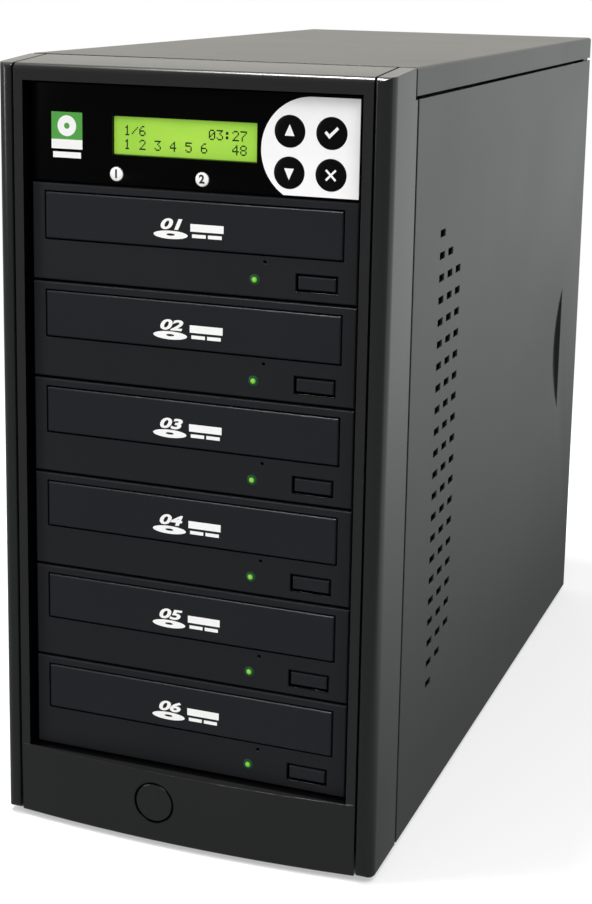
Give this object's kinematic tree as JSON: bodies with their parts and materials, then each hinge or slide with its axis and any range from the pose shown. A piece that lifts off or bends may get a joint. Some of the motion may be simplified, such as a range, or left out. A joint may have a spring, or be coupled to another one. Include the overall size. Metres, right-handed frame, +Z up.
{
  "type": "disc duplicator tower",
  "caption": "Upright black disc duplicator: a keypad and display panel over a stack of tray-loading optical drives in a steel case with slotted sides.",
  "frame": {"origin": "middle of the footprint, at the level of the soles of the feet", "axes": "+Z up, the front faces -Y, +X to the right as seen from the front"},
  "size_m": [0.177, 0.405, 0.3462],
  "materials": {
    "chassis_steel": "bare zinc-coated sheet, dull spangle",
    "black_steel": "fine-textured black powder coat, satin",
    "screw_nickel": "nickel-plated, satin",
    "foot_rubber": "matt moulded rubber",
    "frame_plastic": "moulded plastic, fine grain, satin",
    "trim_plastic": "moulded plastic, smooth satin",
    "drive_plastic": "moulded plastic, fine grain, satin",
    "drive_steel": "bare zinc-coated sheet",
    "tray_plastic": "moulded plastic, matt",
    "panel_gloss": "glossy printed overlay",
    "display_glass": "backlit green display behind clear pane",
    "board_green": "lacquered circuit board",
    "key_black": "smooth moulded keys",
    "supply_steel": "bare zinc-coated sheet",
    "fan_plastic": "moulded plastic, matt",
    "inlet_plastic": "moulded plastic, matt",
    "rocker_plastic": "moulded plastic, glossy",
    "lamp_green": "clear light pipe lit green"
  },
  "bodies": {
    "chassis": {"base_plate": "chassis_steel", "rear_panel": "black_steel", "bay_cage": "chassis_steel", "top_cover": "black_steel", "front_bezel": "frame_plastic", "left_trim_strip": "trim_plastic", "right_trim_strip": "trim_plastic", "rubber_feet": "foot_rubber", "controller_case": "drive_steel", "controller_faceplate": "panel_gloss", "controller_board": "board_green", "display_module": "display_glass", "power_supply": "supply_steel", "power_inlet": "inlet_plastic", "fan_frame": "fan_plastic", "drive_leds": "lamp_green", "drive_1_housing": "drive_steel", "drive_1_bezel": "drive_plastic", "drive_2_housing": "drive_steel", "drive_2_bezel": "drive_plastic", "drive_3_housing": "drive_steel", "drive_3_bezel": "drive_plastic", "drive_4_housing": "drive_steel", "drive_4_bezel": "drive_plastic", "drive_5_housing": "drive_steel", "drive_5_bezel": "drive_plastic", "drive_6_housing": "drive_steel", "drive_6_bezel": "drive_plastic"},
    "tray_1": {"drive_1_tray": "tray_plastic", "drive_1_tray_front": "drive_plastic"},
    "tray_2": {"drive_2_tray": "tray_plastic", "drive_2_tray_front": "drive_plastic"},
    "tray_3": {"drive_3_tray": "tray_plastic", "drive_3_tray_front": "drive_plastic"},
    "tray_4": {"drive_4_tray": "tray_plastic", "drive_4_tray_front": "drive_plastic"},
    "tray_5": {"drive_5_tray": "tray_plastic", "drive_5_tray_front": "drive_plastic"},
    "tray_6": {"drive_6_tray": "tray_plastic", "drive_6_tray_front": "drive_plastic"},
    "eject_1": {"drive_1_eject_button": "drive_plastic"},
    "eject_2": {"drive_2_eject_button": "drive_plastic"},
    "eject_3": {"drive_3_eject_button": "drive_plastic"},
    "eject_4": {"drive_4_eject_button": "drive_plastic"},
    "eject_5": {"drive_5_eject_button": "drive_plastic"},
    "eject_6": {"drive_6_eject_button": "drive_plastic"},
    "key_up": {"up_key": "key_black"},
    "key_down": {"down_key": "key_black"},
    "key_enter": {"enter_key": "key_black"},
    "key_escape": {"escape_key": "key_black"},
    "key_1": {"function_key_1": "key_black"},
    "key_2": {"function_key_2": "key_black"},
    "power_key": {"power_button": "frame_plastic"},
    "rocker": {"power_rocker": "rocker_plastic"},
    "case_fan": {"fan_rotor": "fan_plastic"},
    "supply_fan": {"power_supply_fan_rotor": "fan_plastic"},
    "left_panel": {"left_side_panel": "black_steel", "left_panel_screws": "screw_nickel"},
    "right_panel": {"right_side_panel": "black_steel", "right_panel_screws": "screw_nickel"}
  },
  "joints": [
    {"name": "tray_1_slide", "type": "slide", "parent": "chassis", "child": "tray_1", "axis": [0, -1, 0], "range_m": [0, 0.138]},
    {"name": "tray_2_slide", "type": "slide", "parent": "chassis", "child": "tray_2", "axis": [0, -1, 0], "range_m": [0, 0.138]},
    {"name": "tray_3_slide", "type": "slide", "parent": "chassis", "child": "tray_3", "axis": [0, -1, 0], "range_m": [0, 0.138]},
    {"name": "tray_4_slide", "type": "slide", "parent": "chassis", "child": "tray_4", "axis": [0, -1, 0], "range_m": [0, 0.138]},
    {"name": "tray_5_slide", "type": "slide", "parent": "chassis", "child": "tray_5", "axis": [0, -1, 0], "range_m": [0, 0.138]},
    {"name": "tray_6_slide", "type": "slide", "parent": "chassis", "child": "tray_6", "axis": [0, -1, 0], "range_m": [0, 0.138]},
    {"name": "eject_1_press", "type": "slide", "parent": "chassis", "child": "eject_1", "axis": [0, 1, 0], "range_m": [0, 0.001], "stiffness_N_per_m": 400},
    {"name": "eject_2_press", "type": "slide", "parent": "chassis", "child": "eject_2", "axis": [0, 1, 0], "range_m": [0, 0.001], "stiffness_N_per_m": 400},
    {"name": "eject_3_press", "type": "slide", "parent": "chassis", "child": "eject_3", "axis": [0, 1, 0], "range_m": [0, 0.001], "stiffness_N_per_m": 400},
    {"name": "eject_4_press", "type": "slide", "parent": "chassis", "child": "eject_4", "axis": [0, 1, 0], "range_m": [0, 0.001], "stiffness_N_per_m": 400},
    {"name": "eject_5_press", "type": "slide", "parent": "chassis", "child": "eject_5", "axis": [0, 1, 0], "range_m": [0, 0.001], "stiffness_N_per_m": 400},
    {"name": "eject_6_press", "type": "slide", "parent": "chassis", "child": "eject_6", "axis": [0, 1, 0], "range_m": [0, 0.001], "stiffness_N_per_m": 400},
    {"name": "key_up_press", "type": "slide", "parent": "chassis", "child": "key_up", "axis": [0, 1, 0], "range_m": [0, 0.0005], "stiffness_N_per_m": 500},
    {"name": "key_down_press", "type": "slide", "parent": "chassis", "child": "key_down", "axis": [0, 1, 0], "range_m": [0, 0.0005], "stiffness_N_per_m": 500},
    {"name": "key_enter_press", "type": "slide", "parent": "chassis", "child": "key_enter", "axis": [0, 1, 0], "range_m": [0, 0.0005], "stiffness_N_per_m": 500},
    {"name": "key_escape_press", "type": "slide", "parent": "chassis", "child": "key_escape", "axis": [0, 1, 0], "range_m": [0, 0.0005], "stiffness_N_per_m": 500},
    {"name": "key_1_press", "type": "slide", "parent": "chassis", "child": "key_1", "axis": [0, 1, 0], "range_m": [0, 0.0005], "stiffness_N_per_m": 500},
    {"name": "key_2_press", "type": "slide", "parent": "chassis", "child": "key_2", "axis": [0, 1, 0], "range_m": [0, 0.0005], "stiffness_N_per_m": 500},
    {"name": "power_key_press", "type": "slide", "parent": "chassis", "child": "power_key", "axis": [0, 1, 0], "range_m": [0, 0.003], "stiffness_N_per_m": 350},
    {"name": "rocker_tilt", "type": "hinge", "parent": "chassis", "child": "rocker", "pos_m": [-0.043, 0.19425, 0.28504], "axis": [-1, 0, 0], "range_deg": [0, 16]},
    {"name": "case_fan_spin", "type": "hinge", "parent": "chassis", "child": "case_fan", "pos_m": [0, 0.18175, 0.153], "axis": [0, 1, 0], "continuous": true},
    {"name": "supply_fan_spin", "type": "hinge", "parent": "chassis", "child": "supply_fan", "pos_m": [0.03, 0.18075, 0.3005], "axis": [0, 1, 0], "continuous": true},
    {"name": "left_panel_slide", "type": "slide", "parent": "chassis", "child": "left_panel", "axis": [0, 1, 0], "range_m": [0, 0.018]},
    {"name": "right_panel_slide", "type": "slide", "parent": "chassis", "child": "right_panel", "axis": [0, 1, 0], "range_m": [0, 0.018]}
  ]
}
